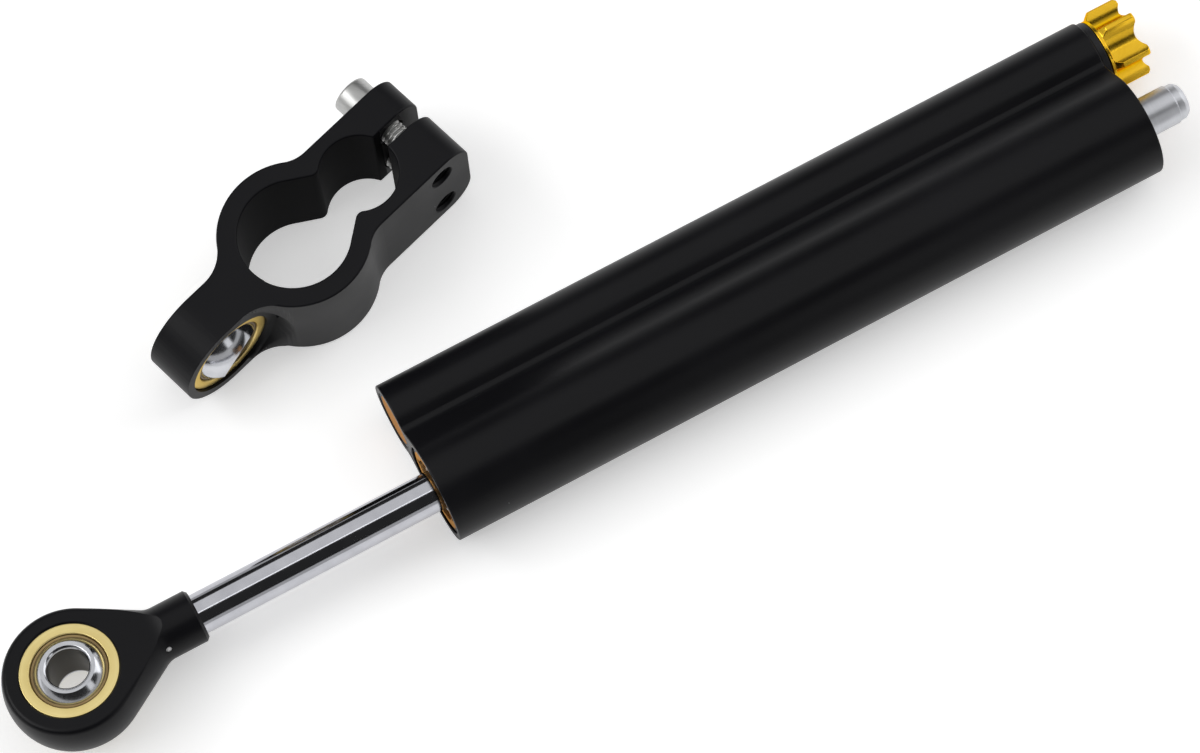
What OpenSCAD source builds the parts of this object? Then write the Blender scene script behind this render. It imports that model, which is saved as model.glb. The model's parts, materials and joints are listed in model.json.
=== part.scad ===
// Motorcycle steering damper with its frame clamp, in millimetres.
// The origin is the centre of the ball in the rod end.
// +X runs along the rod towards the housing, +Z is up from the floor it lies on.
// The damper lies on its main lobe and on the adjuster knob, the clamp lies beside it.

/* [Ball joints] */
// Bolt bore through each ball
bolt_bore_d = 8; // [7.5:0.1:8.4]
// Sphere diameter of each ball
ball_d = 15.875; // [15.5:0.125:16]
// Width of each ball across its two flats
ball_w = 12; // [11.6:0.1:12.4]
// Outside diameter of each race
race_d = 19; // [18.8:0.1:20]
// Width of each race
race_w = 9; // [8.6:0.1:9.2]
// Thickness of the liner between race and ball
liner_wall = 0.5; // [0.4:0.05:0.6]
// Radial running gap on both sides of the liner
liner_gap = 0.04; // [0.03:0.01:0.08]

/* [Rod and rod end] */
// Diameter of the piston rod
rod_d = 8; // [7.6:0.1:8.4]
// Length of bare rod between the rod end and the housing
rod_seen = 49.6; // [40:0.2:80]
// Length of the tail rod that stands out of the far end
tail_seen = 10.5; // [8:0.5:20]
// Metal of the rod end outside the middle of its race
eye_wall = 3.8; // [3.4:0.1:4.4]
// Thickness of the rod end across its flats
eye_t = 9.4; // [9.3:0.1:10.2]
// Distance from the ball centre to the end of the collar
eye_reach = 25.8; // [25.4:0.2:32]
// Metal of the collar around the rod
collar_wall = 1.25; // [1.1:0.05:1.8]
// Half angle of the flanks that run from the eye to the collar
neck_angle = 30; // [27:1:33]
// Radius of the hollow where the flanks meet the collar
neck_hollow_r = 4; // [2:0.5:5]
// Radius of the sweep in which each flat runs out on the collar
runout_r = 8.5; // [7:0.5:10]

/* [Housing] */
// Outside radius of the main lobe
main_r = 10.5; // [10.3:0.1:11.5]
// Outside radius of the side lobe
side_r = 7.35; // [7.2:0.05:7.7]
// Distance between the two lobe axes
lobe_gap = 17; // [16.8:0.1:18]
// Half angle of the flanks on the main lobe
flank_angle = 34; // [32:1:36]
// Radius of the hollow between the lobes
groove_r = 2; // [1:0.1:2.6]
// Length of the housing
housing_len = 152.5; // [146:0.5:200]
// Wall around the working bore
main_wall = 2.5; // [2.3:0.1:2.8]
// Wall around the seal heads at both ends
head_wall = 1.4; // [1.2:0.1:1.6]
// Wall around the side bore
side_wall = 2.15; // [2:0.05:2.3]

/* [Seal heads] */
// Length of the front seal head
front_head_len = 26; // [24:0.5:28]
// Length of the rear seal head
rear_head_len = 28; // [24:0.5:34]
// Depth of each retaining ring below the end face
clip_inset = 0.4; // [0.3:0.1:1]
// Thickness of each retaining ring
clip_t = 1; // [0.8:0.1:1.2]
// Depth of each seal head below the end face
head_inset = 0.3; // [0.2:0.1:0.5]
// Running gap of the rod in its bushes
rod_gap = 0.03; // [0.02:0.01:0.06]

/* [Piston] */
// Length of the piston
piston_len = 12; // [11:0.5:14]
// Width of the piston band
band_w = 5; // [4:0.1:6]
// Running gap of the piston band in the bore
band_gap = 0.03; // [0.02:0.01:0.06]

/* [Adjuster] */
// Radius over the ridges of the knob
knob_r = 8; // [7.8:0.05:8.4]
// Radius at the bottom of the scallops
knob_valley_r = 5.7; // [5.6:0.1:5.9]
// Radius of each scallop
scallop_r = 4.9; // [4.6:0.1:5]
// Number of ridges on the knob
ridge_count = 6; // [5:1:6]
// Length of the knob
knob_len = 8; // [7.6:0.1:9]
// Diameter of the metering needle where it is guided
needle_d = 3; // [2.8:0.1:3.1]

/* [Clamp] */
// Height of the clamp
clamp_h = 22.5; // [22:0.1:25]
// Gap between the clamp and the housing before it is tightened
clamp_gap = 0.35; // [0.2:0.05:0.5]
// Wall of the clamp ring
ring_wall = 3.9; // [3.5:0.1:5]
// Distance from the ring centre to the end of the ears
ear_reach = 35.5; // [35:0.5:38]
// Half width over the two ears
ear_half = 10.5; // [10.2:0.1:11.5]
// Width of the slot between the ears
slot_w = 3.2; // [2:0.1:3.6]
// Radius of the rounded ends of the ears
ear_round_r = 5.7; // [4:0.1:6]
// Distance from the ring centre to the lug bearing
lug_reach = 23; // [22.8:0.1:26]
// Half width of the lug
lug_half = 5.1; // [4.9:0.05:5.6]
// Radius of the recess beside the lug bearing
spot_r = 12; // [11.6:0.1:12.4]
// Thread diameter of the clamp screws
screw_d = 5; // [4:1:5]
// Distance between the two clamp screws
screw_pitch = 12.6; // [12:0.1:13]
// Place of the clamp on the floor along the damper
clamp_x = 75; // [70:1:90]
// Place of the clamp on the floor beside the damper
clamp_y = 54; // [54:1:80]
// Turn of the clamp about the vertical
clamp_turn = 17; // [5:1:25]
// Tilt of the clamp ball away from the lug axis
clamp_ball_tilt = 21; // [0:1:22]
// Direction of that tilt, turned about the lug axis
clamp_tilt_turn = 41; // [0:1:80]

/* [Hidden] */
$fn = 96;

rod_r = rod_d / 2;
race_r = race_d / 2;
ball_r = ball_d / 2;
eye_r = race_r + eye_wall;
collar_r = rod_r + collar_wall;
neck_hollow_x = (eye_r + neck_hollow_r - (collar_r + neck_hollow_r) * cos(neck_angle)) / sin(neck_angle);
runout_x = neck_hollow_x - 2.4;
witness_turn = 64;
press = 0.02;

// The lobes lean so that the knob and the main lobe both touch the floor
floor_z = -main_r;
lobe_drop = asin((main_r - knob_r) / lobe_gap);
near_x = eye_reach + rod_seen;
far_x = near_x + housing_len;
tail_x = far_x + tail_seen;

// Working bore and seal heads, with depths counted from each end face
bore_r = main_r - main_wall;
head_bore_r = main_r - head_wall;
head_r = head_bore_r - 0.05;
clip_groove_r = head_bore_r + 0.6;
head_nose_r = clip_groove_r - 1.6;
head_nose_len = clip_inset + clip_t + 0.1 - head_inset;
front_chamber_x = near_x + head_inset + front_head_len + 0.1;
rear_chamber_x = far_x - head_inset - rear_head_len - 0.1;
pocket_r = rod_r + 2.4;
head_groove = 0.6 * (head_r - pocket_r);

// Travel of the rod each way from the drawn position
travel_out = tail_seen - 1.5;
travel_in = rod_seen - 2.6;
piston_x = front_chamber_x + 2 + travel_out;
piston_end_x = piston_x + piston_len;
spigot_r = 2.5;
band_groove_w = band_w + 0.2;
band_t = 1.05;
band_groove_r = bore_r - band_gap - band_t - 1.52;

// Side bore with the reservoir in front and the adjuster behind
side_bore_r = side_r - side_wall;
plug_len = 6;
plug_x = near_x + 0.2;
float_x = near_x + 13;
float_len = 8;
port_r = 1.1;
front_port_x = front_chamber_x + 1.3;
rear_port_x = rear_chamber_x - 1.4;
seat_x = rear_port_x - 10.7;
gland_x = far_x - 14.6;
gland_len = 14.6;
neck_end_x = far_x + 5.8;
spindle_flange_x = far_x - 4.1;
needle_run = spindle_flange_x - seat_x;
collar_t = 1.5;
knob_x = far_x + collar_t + 0.15;
knob_cup = 2.2;
needle_r = needle_d / 2;
needle_hole_r = needle_r + 0.04;
needle_square = 4;
stem_r = 2;
valve_ring_r = side_bore_r - 0.05;

// Clamp
clamp_ring_r = main_r + clamp_gap + ring_wall;
bolt_x = ear_reach - 7;

// Basic shapes

module tube(outer_r, inner_r, length) {
    difference() {
        cylinder(r = outer_r, h = length);
        translate([0, 0, -1]) cylinder(r = inner_r, h = length + 2);
    }
}

module o_ring(middle_r, section_r) {
    rotate_extrude() translate([middle_r, 0]) circle(r = section_r, $fn = 32);
}

// Groove cut into the outside of a round part
module outer_groove(outer_r, floor_r, length) {
    tube(outer_r + 1, floor_r, length);
}

// Turns a shape drawn along Z so that it points along X from x
module along_x(x) {
    translate([x, 0, 0]) rotate([0, 90, 0]) children();
}

// The same, pointing back along X
module back_x(x) {
    translate([x, 0, 0]) rotate([0, -90, 0]) children();
}

// Everything that leans with the lobes
module leaning() {
    rotate([-lobe_drop, 0, 0]) children();
}

module on_side_axis() {
    leaning() translate([0, lobe_gap, 0]) children();
}

// Bar with the section of the two lobes, drawn along Z: a big round, flanks that close in
// on the small round, and a hollow where each flank meets it
module lobe_bar(big_r, small_r, gap, half_angle, hollow_r, length) {
    overlap = 0.02;
    flank_r = big_r - overlap;
    small_reach = small_r - overlap + hollow_r;
    normal = [sin(half_angle), cos(half_angle)];
    run = [cos(half_angle), -sin(half_angle)];
    rise = flank_r + hollow_r - gap * normal[0];
    slide = gap * run[0] - sqrt(small_reach * small_reach - rise * rise);
    hollow = (flank_r + hollow_r) * normal + slide * run;
    flank_foot = flank_r * normal + slide * run;
    small_foot = [gap, 0] + (hollow - [gap, 0]) * (small_reach - hollow_r) / small_reach;
    upper = [flank_r * normal, flank_foot, hollow, small_foot];
    lower = [for (k = [3 : -1 : 0]) [upper[k][0], -upper[k][1]]];
    cylinder(r = big_r, h = length);
    translate([gap, 0, 0]) cylinder(r = small_r, h = length);
    linear_extrude(length) difference() {
        polygon(concat(upper, lower));
        translate(hollow) circle(r = hollow_r);
        translate([hollow[0], -hollow[1]]) circle(r = hollow_r);
    }
}

// Ball joints, drawn about Z

module joint_race() {
    difference() {
        translate([0, 0, -race_w / 2]) cylinder(r = race_r - press, h = race_w);
        sphere(r = ball_r + liner_wall + 2 * liner_gap);
    }
}

module joint_liner() {
    intersection() {
        difference() {
            sphere(r = ball_r + liner_gap + liner_wall);
            sphere(r = ball_r + liner_gap);
        }
        cube([race_d, race_d, race_w - 0.5], center = true);
    }
}

module joint_ball() {
    difference() {
        intersection() {
            sphere(r = ball_r);
            cube([ball_d, ball_d, ball_w], center = true);
        }
        cylinder(r = bolt_bore_d / 2, h = ball_w + 2, center = true);
    }
}

// Housing

module housing() {
    color([0.05, 0.05, 0.06]) difference() {
        leaning() translate([near_x, 0, 0]) rotate([90, 0, 90])
            lobe_bar(main_r, side_r, lobe_gap, flank_angle, groove_r, housing_len);
        along_x(near_x - 1) cylinder(r = bore_r, h = housing_len + 2);
        along_x(near_x - 1) cylinder(r = head_bore_r, h = front_chamber_x - near_x + 1);
        along_x(rear_chamber_x) cylinder(r = head_bore_r, h = far_x - rear_chamber_x + 1);
        along_x(near_x + clip_inset) cylinder(r = clip_groove_r, h = clip_t + 0.1);
        back_x(far_x - clip_inset) cylinder(r = clip_groove_r, h = clip_t + 0.1);
        on_side_axis() along_x(near_x - 1) cylinder(r = side_bore_r, h = housing_len + 2);
        on_side_axis() along_x(near_x - 1) cylinder(r = side_bore_r + 0.6, h = 2.6);
        leaning() cross_port(front_port_x);
        leaning() cross_port(rear_port_x);
    }
}

// Oil passage between the working bore and the side bore
module cross_port(x) {
    translate([x, bore_r - 2, 0]) rotate([-90, 0, 0]) cylinder(r = port_r, h = lobe_gap - bore_r);
}

// Seal heads, drawn from the outer face inwards along Z

module seal_head(length) {
    difference() {
        cylinder(r = head_r, h = length);
        translate([0, 0, -1]) cylinder(r = rod_r + 0.35, h = length + 2);
        translate([0, 0, -1]) cylinder(r = rod_r + 2.3, h = 2.2);
        translate([0, 0, -1]) cylinder(r = rod_r + 1.7, h = 4.6);
        translate([0, 0, 7]) cylinder(r = pocket_r, h = length);
        translate([0, 0, -1]) outer_groove(head_r, head_nose_r, head_nose_len + 1);
        translate([0, 0, length - 7]) outer_groove(head_r, head_r - head_groove, 1.57 * head_groove);
        for (side = [-1, 1]) translate([0, side * (rod_r + 2.3), -1]) cylinder(r = 1.1, h = 2.8);
    }
}

module retaining_ring(outer_r) {
    difference() {
        tube(outer_r - 0.05, outer_r - 1.5, clip_t);
        translate([-outer_r, 0, clip_t / 2]) cube([outer_r, 5, clip_t + 1], center = true);
    }
}

module head_oring(length) {
    translate([0, 0, length - 7 + 0.785 * head_groove]) o_ring(head_r - 0.5 * head_groove, 0.47 * head_groove);
}

module rod_bush(length) {
    translate([0, 0, 11.4]) tube(pocket_r - press, rod_r + rod_gap, length - 11.9);
}

module rod_seal() {
    translate([0, 0, 7.1]) tube(pocket_r - press, rod_r + 0.06, 4.1);
}

module rod_wiper() {
    translate([0, 0, 1.9]) tube(rod_r + 1.65, rod_r + 0.06, 1.6);
    translate([0, 0, 1.1]) tube(rod_r + 0.6, rod_r + 0.06, 0.9);
}

module front_seal_head() {
    color([0.72, 0.55, 0.36]) leaning() along_x(near_x + head_inset) seal_head(front_head_len);
}

module front_retaining_ring() {
    color([0.06, 0.06, 0.07]) leaning() along_x(near_x + clip_inset + 0.05) retaining_ring(clip_groove_r);
}

module front_head_oring() {
    color([0.03, 0.03, 0.03]) along_x(near_x + head_inset) head_oring(front_head_len);
}

module front_rod_bush() {
    color([0.6, 0.5, 0.3]) along_x(near_x + head_inset) rod_bush(front_head_len);
}

module front_rod_seal() {
    color([0.12, 0.1, 0.1]) along_x(near_x + head_inset) rod_seal();
}

module front_wiper() {
    color([0.1, 0.1, 0.1]) along_x(near_x + head_inset) rod_wiper();
}

module rear_seal_head() {
    color([0.72, 0.55, 0.36]) leaning() back_x(far_x - head_inset) seal_head(rear_head_len);
}

module rear_retaining_ring() {
    color([0.06, 0.06, 0.07]) leaning() back_x(far_x - clip_inset - 0.05) retaining_ring(clip_groove_r);
}

module rear_head_oring() {
    color([0.03, 0.03, 0.03]) back_x(far_x - head_inset) head_oring(rear_head_len);
}

module rear_rod_bush() {
    color([0.6, 0.5, 0.3]) back_x(far_x - head_inset) rod_bush(rear_head_len);
}

module rear_rod_seal() {
    color([0.12, 0.1, 0.1]) back_x(far_x - head_inset) rod_seal();
}

module rear_wiper() {
    color([0.1, 0.1, 0.1]) back_x(far_x - head_inset) rod_wiper();
}

// Piston and rod

module piston() {
    color([0.75, 0.76, 0.78]) along_x(piston_x) difference() {
        tube(bore_r - 0.1, spigot_r + 0.03, piston_len);
        translate([0, 0, (piston_len - band_groove_w) / 2])
            outer_groove(bore_r, band_groove_r, band_groove_w);
    }
}

module piston_band() {
    color([0.2, 0.35, 0.3]) along_x(piston_x + (piston_len - band_w) / 2)
        tube(bore_r - band_gap, bore_r - band_gap - band_t, band_w);
}

module band_energiser() {
    space = bore_r - band_gap - band_t - band_groove_r;
    color([0.05, 0.05, 0.05]) along_x(piston_x + piston_len / 2)
        o_ring(band_groove_r + space / 2, space / 2 - 0.04);
}

module main_rod() {
    color([0.8, 0.81, 0.83]) {
        along_x(race_r + 5.1) cylinder(r = rod_r - press, h = piston_x - race_r - 5.1);
        along_x(piston_x - 0.1) cylinder(r = spigot_r, h = piston_len + 10.1);
    }
}

module tail_rod() {
    tail_len = tail_x - piston_end_x;
    color([0.7, 0.71, 0.73]) along_x(piston_end_x) difference() {
        rotate_extrude() polygon([[0, 0], [rod_r - press, 0], [rod_r - press, tail_len - 2.6],
            [rod_r - 0.3, tail_len - 2.4], [rod_r - 0.3, tail_len - 1.1], [rod_r - 1.1, tail_len],
            [0, tail_len]]);
        translate([0, 0, -1]) cylinder(r = spigot_r + 0.03, h = 11.2);
    }
}

// Rod end: turned as a ball with a neck and a collar, then milled flat on both faces

module turned_profile() {
    normal = [cos(neck_angle), sin(neck_angle)];
    hollow = [collar_r + neck_hollow_r, neck_hollow_x];
    flank_start = (eye_r - 0.02) * normal;
    flank_foot = hollow - neck_hollow_r * normal;
    intersection() {
        circle(r = eye_r);
        translate([0, -eye_r]) square([eye_r + 1, 2 * eye_r]);
    }
    difference() {
        polygon([[0, 0], flank_start, flank_foot, hollow, [collar_r, hollow[1]],
            [collar_r, eye_reach - 0.6], [collar_r - 0.6, eye_reach], [0, eye_reach]]);
        translate(hollow) circle(r = neck_hollow_r);
    }
}

// What the cutter takes off one face: a flat that sweeps up and runs out on the collar
module flat_cut() {
    translate([-eye_r - 1, -eye_r - 1, eye_t / 2]) cube([eye_r + 1 + runout_x, 2 * eye_r + 2, eye_r]);
    translate([runout_x, 0, eye_t / 2 + runout_r - 0.02]) rotate([90, 0, 0])
        cylinder(r = runout_r, h = 2 * eye_r + 2, center = true);
}

module rod_end() {
    color([0.05, 0.05, 0.06]) leaning() difference() {
        rotate([0, 90, 0]) rotate_extrude() turned_profile();
        for (face = [0, 1]) mirror([0, 0, face]) flat_cut();
        cylinder(r = race_r, h = eye_t + 2, center = true);
        along_x(race_r + 5) cylinder(r = rod_r, h = eye_reach);
        translate([neck_hollow_x - 0.6, 0, 0]) rotate([witness_turn, 0, 0])
            translate([0, 0, collar_r - 0.8]) cylinder(r = 0.6, h = 4);
    }
}

module eye_race() {
    color([0.83, 0.74, 0.45]) leaning() joint_race();
}

module eye_liner() {
    color([0.25, 0.2, 0.12]) leaning() joint_liner();
}

module eye_ball() {
    color([0.8, 0.81, 0.84]) leaning() joint_ball();
}

// Reservoir in the front of the side bore

module reservoir_plug() {
    color([0.6, 0.47, 0.34]) on_side_axis() along_x(plug_x) difference() {
        cylinder(r = side_bore_r - press, h = plug_len);
        translate([0, 0, 3]) outer_groove(side_bore_r, side_bore_r - 1.3, 2);
    }
}

module plug_retaining_ring() {
    color([0.05, 0.05, 0.05]) on_side_axis() along_x(plug_x) tube(side_bore_r + 0.55, side_bore_r + 0.02, 0.9);
}

module plug_oring() {
    color([0.03, 0.03, 0.03]) on_side_axis() along_x(plug_x + 4) o_ring(side_bore_r - 0.65, 0.6);
}

module floating_piston() {
    color([0.75, 0.76, 0.78]) on_side_axis() along_x(float_x) difference() {
        cylinder(r = side_bore_r - 0.06, h = float_len);
        translate([0, 0, 3]) outer_groove(side_bore_r, side_bore_r - 1.3, 2);
        translate([0, 0, -1]) cylinder(r = 3, h = 3);
    }
}

module floating_piston_oring() {
    color([0.03, 0.03, 0.03]) on_side_axis() along_x(float_x + 4) o_ring(side_bore_r - 0.68, 0.6);
}

// Adjuster in the back of the side bore

module valve_seat() {
    seat_len = gland_x - 0.1 - seat_x;
    spigot_end = needle_run - 0.1;
    needle_start = 4;
    square_start = needle_run - 9.4;
    color([0.75, 0.6, 0.35]) on_side_axis() along_x(seat_x) difference() {
        union() {
            cylinder(r = valve_ring_r, h = seat_len);
            cylinder(r = 3.55, h = spigot_end);
        }
        translate([0, 0, -1]) cylinder(r = 1, h = 8);
        translate([0, 0, needle_start]) cylinder(r = needle_hole_r, h = square_start + 1 - needle_start);
        translate([0, 0, square_start]) rotate(45)
            cylinder(r = (needle_square + 0.12) / sqrt(2), h = spigot_end, $fn = 4);
        translate([0, 0, 9]) outer_groove(valve_ring_r, valve_ring_r - 0.9, 3.4);
        translate([0, 0, 10.7]) rotate([90, 0, 0]) cylinder(r = 0.8, h = 12, center = true);
        translate([0, 0, 16]) outer_groove(valve_ring_r, valve_ring_r - 1.3, 2);
    }
}

module valve_seat_oring() {
    color([0.03, 0.03, 0.03]) on_side_axis() along_x(seat_x + 17) o_ring(valve_ring_r - 0.62, 0.6);
}

module valve_gland() {
    neck_r = 4.4;
    color([0.75, 0.6, 0.35]) on_side_axis() along_x(gland_x) difference() {
        union() {
            cylinder(r = valve_ring_r, h = gland_len);
            cylinder(r = neck_r, h = neck_end_x - gland_x);
        }
        translate([0, 0, -1]) cylinder(r = 3.6, h = spindle_flange_x + 1.6 - gland_x + 1);
        translate([0, 0, 1]) cylinder(r = stem_r + 0.04, h = 30);
        translate([0, 0, 5]) outer_groove(valve_ring_r, valve_ring_r - 1.3, 2);
        translate([0, 0, gland_len + 3.7]) rotate([-90, 0, 0]) translate([0, 0, 2.5]) cylinder(r = 0.85, h = 4);
    }
}

module valve_gland_oring() {
    color([0.03, 0.03, 0.03]) on_side_axis() along_x(gland_x + 6) o_ring(valve_ring_r - 0.62, 0.6);
}

module metering_needle() {
    square_start = needle_run - 8.8;
    color([0.7, 0.7, 0.72]) on_side_axis() along_x(seat_x) difference() {
        union() {
            rotate_extrude() polygon([[0, 1.4], [0.35, 1.4], [0.9, 4.8], [0.9, 12.6], [needle_r, 13.2],
                [needle_r, square_start + 0.2], [0, square_start + 0.2]]);
            translate([0, 0, square_start]) rotate(45)
                cylinder(r = needle_square / sqrt(2), h = 8, $fn = 4);
        }
        translate([0, 0, square_start + 1]) cylinder(r = 1.55, h = 9);
        translate([0, 0, 17]) outer_groove(needle_r, needle_r - 0.7, 1.3);
    }
}

module needle_oring() {
    color([0.03, 0.03, 0.03]) on_side_axis() along_x(seat_x + 17.65) o_ring(needle_r - 0.3, 0.32);
}

module adjuster_spindle() {
    screw_start = spindle_flange_x - 6;
    color([0.72, 0.72, 0.74]) on_side_axis() {
        along_x(spindle_flange_x) cylinder(r = 3.5, h = 1.5);
        along_x(screw_start) cylinder(r = 1.5, h = spindle_flange_x + 0.2 - screw_start);
        along_x(spindle_flange_x + 1.4) difference() {
            cylinder(r = stem_r, h = knob_x + knob_len - knob_cup - 0.1 - spindle_flange_x - 1.4);
            translate([0, 0, knob_x + knob_len - 7.5 - spindle_flange_x - 1.4]) cylinder(r = 1.03, h = 12);
        }
    }
}

module detent_ball() {
    color([0.8, 0.8, 0.82]) on_side_axis() translate([gland_x + gland_len + 3.7, 4.05, 0]) sphere(r = 0.8);
}

module detent_spring() {
    color([0.6, 0.6, 0.62]) on_side_axis() translate([gland_x + gland_len + 3.7, 2.55, 0])
        rotate([-90, 0, 0]) tube(0.75, 0.45, 0.75);
}

module knob_collar() {
    color([0.04, 0.04, 0.04]) on_side_axis() along_x(far_x) tube(side_r - 0.5, 4.45, collar_t);
}

module scallops(length) {
    for (k = [0 : ridge_count - 1]) rotate(90 + k * 360 / ridge_count)
        translate([knob_valley_r + scallop_r, 0, 0.7]) cylinder(r = scallop_r, h = length);
}

module adjuster_knob() {
    foot_r = knob_valley_r + 1.1;
    rim_r = knob_valley_r + 1.1;
    floor_h = knob_len - knob_cup;
    color([0.85, 0.65, 0.1]) on_side_axis() along_x(knob_x) difference() {
        rotate_extrude() polygon([[0, 0], [foot_r, 0], [foot_r, 0.7], [knob_r, 1.9],
            [knob_r, knob_len - 0.5], [knob_r - 0.5, knob_len], [rim_r, knob_len],
            [rim_r - knob_cup, floor_h], [0, floor_h]]);
        scallops(knob_len);
        translate([0, 0, -1]) cylinder(r = 4.95, h = 5.4);
        translate([0, 0, 3]) cylinder(r = stem_r + press, h = knob_len);
    }
}

module knob_screw() {
    head_x = knob_x + knob_len - knob_cup;
    color([0.7, 0.7, 0.72]) on_side_axis() along_x(head_x) difference() {
        union() {
            cylinder(r = 2.6, h = 1.3);
            translate([0, 0, -5]) cylinder(r = 1, h = 5.5);
        }
        translate([0, 0, 0.4]) cylinder(r = 1.15, h = 2, $fn = 6);
    }
}

// Clamp, drawn with its ring centre on Z and its ears along X

module on_clamp() {
    translate([clamp_x, clamp_y, floor_z]) rotate(clamp_turn) children();
}

// Fills the inner corner between the ring and a straight side at y = width
module ring_blend(width, blend_r, side) {
    meet_r = clamp_ring_r - 0.02;
    blend = [side * sqrt(pow(meet_r + blend_r, 2) - pow(width + blend_r, 2)), width + blend_r];
    foot = blend * meet_r / (meet_r + blend_r);
    difference() {
        polygon([[0, 0], foot, blend, [blend[0], width], [blend[0], 0]]);
        translate(blend) circle(r = blend_r);
    }
}

module ring_plan() {
    circle(r = clamp_ring_r);
    for (side = [0, 1]) mirror([0, side]) ring_blend(lug_half, 8.3, -1);
    for (side = [0, 1]) mirror([0, side]) ring_blend(ear_half, 7, 1);
}

module ear_block() {
    length = ear_reach - 8;
    difference() {
        translate([8, -ear_half, 0]) cube([length, 2 * ear_half, clamp_h]);
        for (end = [0, 1]) translate([ear_reach, 0, end * clamp_h]) mirror([0, 0, end])
            ear_corner();
    }
}

// Piece cut away to round one end corner of the ears
module ear_corner() {
    difference() {
        translate([-ear_round_r, -ear_half - 1, -1])
            cube([ear_round_r + 1, 2 * ear_half + 2, ear_round_r + 1]);
        translate([-ear_round_r, 0, ear_round_r]) rotate([90, 0, 0])
            cylinder(r = ear_round_r, h = 4 * ear_half, center = true);
    }
}

module lug() {
    lug_r = clamp_h / 2;
    translate([-lug_reach, lug_half, lug_r]) rotate([90, 0, 0]) cylinder(r = lug_r, h = 2 * lug_half);
    translate([-lug_reach, -lug_half, 0]) cube([lug_reach - main_r - 1.5, 2 * lug_half, clamp_h]);
}

// Round recess that clears the mating lug on each side of the bearing
module spot_recess() {
    for (side = [-1, 1]) translate([-lug_reach, side * lug_half, clamp_h / 2]) rotate([-90 * side, 0, 0])
        cylinder(r = spot_r, h = clamp_ring_r);
}

module clamp_body() {
    color([0.06, 0.06, 0.07]) on_clamp() difference() {
        union() {
            difference() {
                linear_extrude(clamp_h) ring_plan();
                spot_recess();
            }
            ear_block();
            lug();
        }
        translate([0, 0, -1]) lobe_bar(main_r + clamp_gap, side_r + clamp_gap, lobe_gap,
            flank_angle, groove_r - clamp_gap, clamp_h + 2);
        translate([lobe_gap, 0, -1]) cube([ear_reach, slot_w, clamp_h + 2]);
        translate([-lug_reach, 0, clamp_h / 2]) rotate([90, 0, 0])
            cylinder(r = race_r, h = 3 * lug_half, center = true);
        at_screws() {
            translate([0, 0, -ear_half - 1]) cylinder(r = screw_d / 2 + 0.02, h = ear_half + 2);
            cylinder(r = screw_d / 2 + 0.25, h = ear_half + 1);
        }
    }
}

// Both screw axes, pointing from the threaded ear to the screw heads
module at_screws() {
    for (side = [-1, 1]) translate([bolt_x, 0, clamp_h / 2 + side * screw_pitch / 2])
        rotate([-90, 0, 0]) children();
}

module clamp_screws() {
    head_r = 0.85 * screw_d;
    color([0.75, 0.75, 0.76]) on_clamp() at_screws() difference() {
        union() {
            translate([0, 0, ear_half]) cylinder(r = head_r, h = screw_d);
            translate([0, 0, ear_half - 16]) cylinder(r = screw_d / 2, h = 16.1);
        }
        translate([0, 0, ear_half + screw_d / 2]) cylinder(r = 0.46 * screw_d, h = screw_d, $fn = 6);
    }
}

// Bearing of the lug, turned so that its axis lies along Y
module in_lug() {
    on_clamp() translate([-lug_reach, 0, clamp_h / 2]) rotate([90, 0, 0]) children();
}

module clamp_race() {
    color([0.83, 0.74, 0.45]) in_lug() joint_race();
}

module clamp_liner() {
    color([0.25, 0.2, 0.12]) in_lug() joint_liner();
}

module clamp_ball() {
    color([0.8, 0.81, 0.84]) in_lug() rotate(clamp_tilt_turn) rotate([clamp_ball_tilt, 0, 0])
        joint_ball();
}

housing();
front_seal_head();
front_retaining_ring();
front_head_oring();
front_rod_bush();
front_rod_seal();
front_wiper();
rear_seal_head();
rear_retaining_ring();
rear_head_oring();
rear_rod_bush();
rear_rod_seal();
rear_wiper();
piston();
piston_band();
band_energiser();
main_rod();
tail_rod();
rod_end();
eye_race();
eye_liner();
eye_ball();
reservoir_plug();
plug_retaining_ring();
plug_oring();
floating_piston();
floating_piston_oring();
valve_seat();
valve_seat_oring();
valve_gland();
valve_gland_oring();
metering_needle();
needle_oring();
adjuster_spindle();
detent_ball();
detent_spring();
knob_collar();
adjuster_knob();
knob_screw();
clamp_body();
clamp_screws();
clamp_race();
clamp_liner();
clamp_ball();
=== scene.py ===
import json
import math

import bmesh
import bpy
from mathutils import Matrix, Vector


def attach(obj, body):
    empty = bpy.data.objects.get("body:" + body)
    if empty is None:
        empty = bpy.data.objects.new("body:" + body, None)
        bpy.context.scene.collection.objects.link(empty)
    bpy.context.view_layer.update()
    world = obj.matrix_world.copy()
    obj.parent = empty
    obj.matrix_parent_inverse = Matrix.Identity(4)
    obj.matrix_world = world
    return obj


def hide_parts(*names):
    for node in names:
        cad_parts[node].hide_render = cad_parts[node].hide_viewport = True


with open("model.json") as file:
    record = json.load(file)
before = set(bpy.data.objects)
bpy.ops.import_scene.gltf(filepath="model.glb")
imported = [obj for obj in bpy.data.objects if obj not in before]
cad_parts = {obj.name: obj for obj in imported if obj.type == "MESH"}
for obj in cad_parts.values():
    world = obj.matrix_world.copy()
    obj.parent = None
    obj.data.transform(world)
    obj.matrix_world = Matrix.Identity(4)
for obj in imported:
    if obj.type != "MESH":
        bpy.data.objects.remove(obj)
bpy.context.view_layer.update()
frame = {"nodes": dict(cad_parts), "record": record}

# Sizes in millimetres, the same as in the solids

# Housing: a main lobe around the rod, and a side lobe that ends in the knob
main_r = 10.5
side_r = 7.35
lobe_gap = 17.0
knob_r = 8.0
housing_len = 152.5

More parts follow.
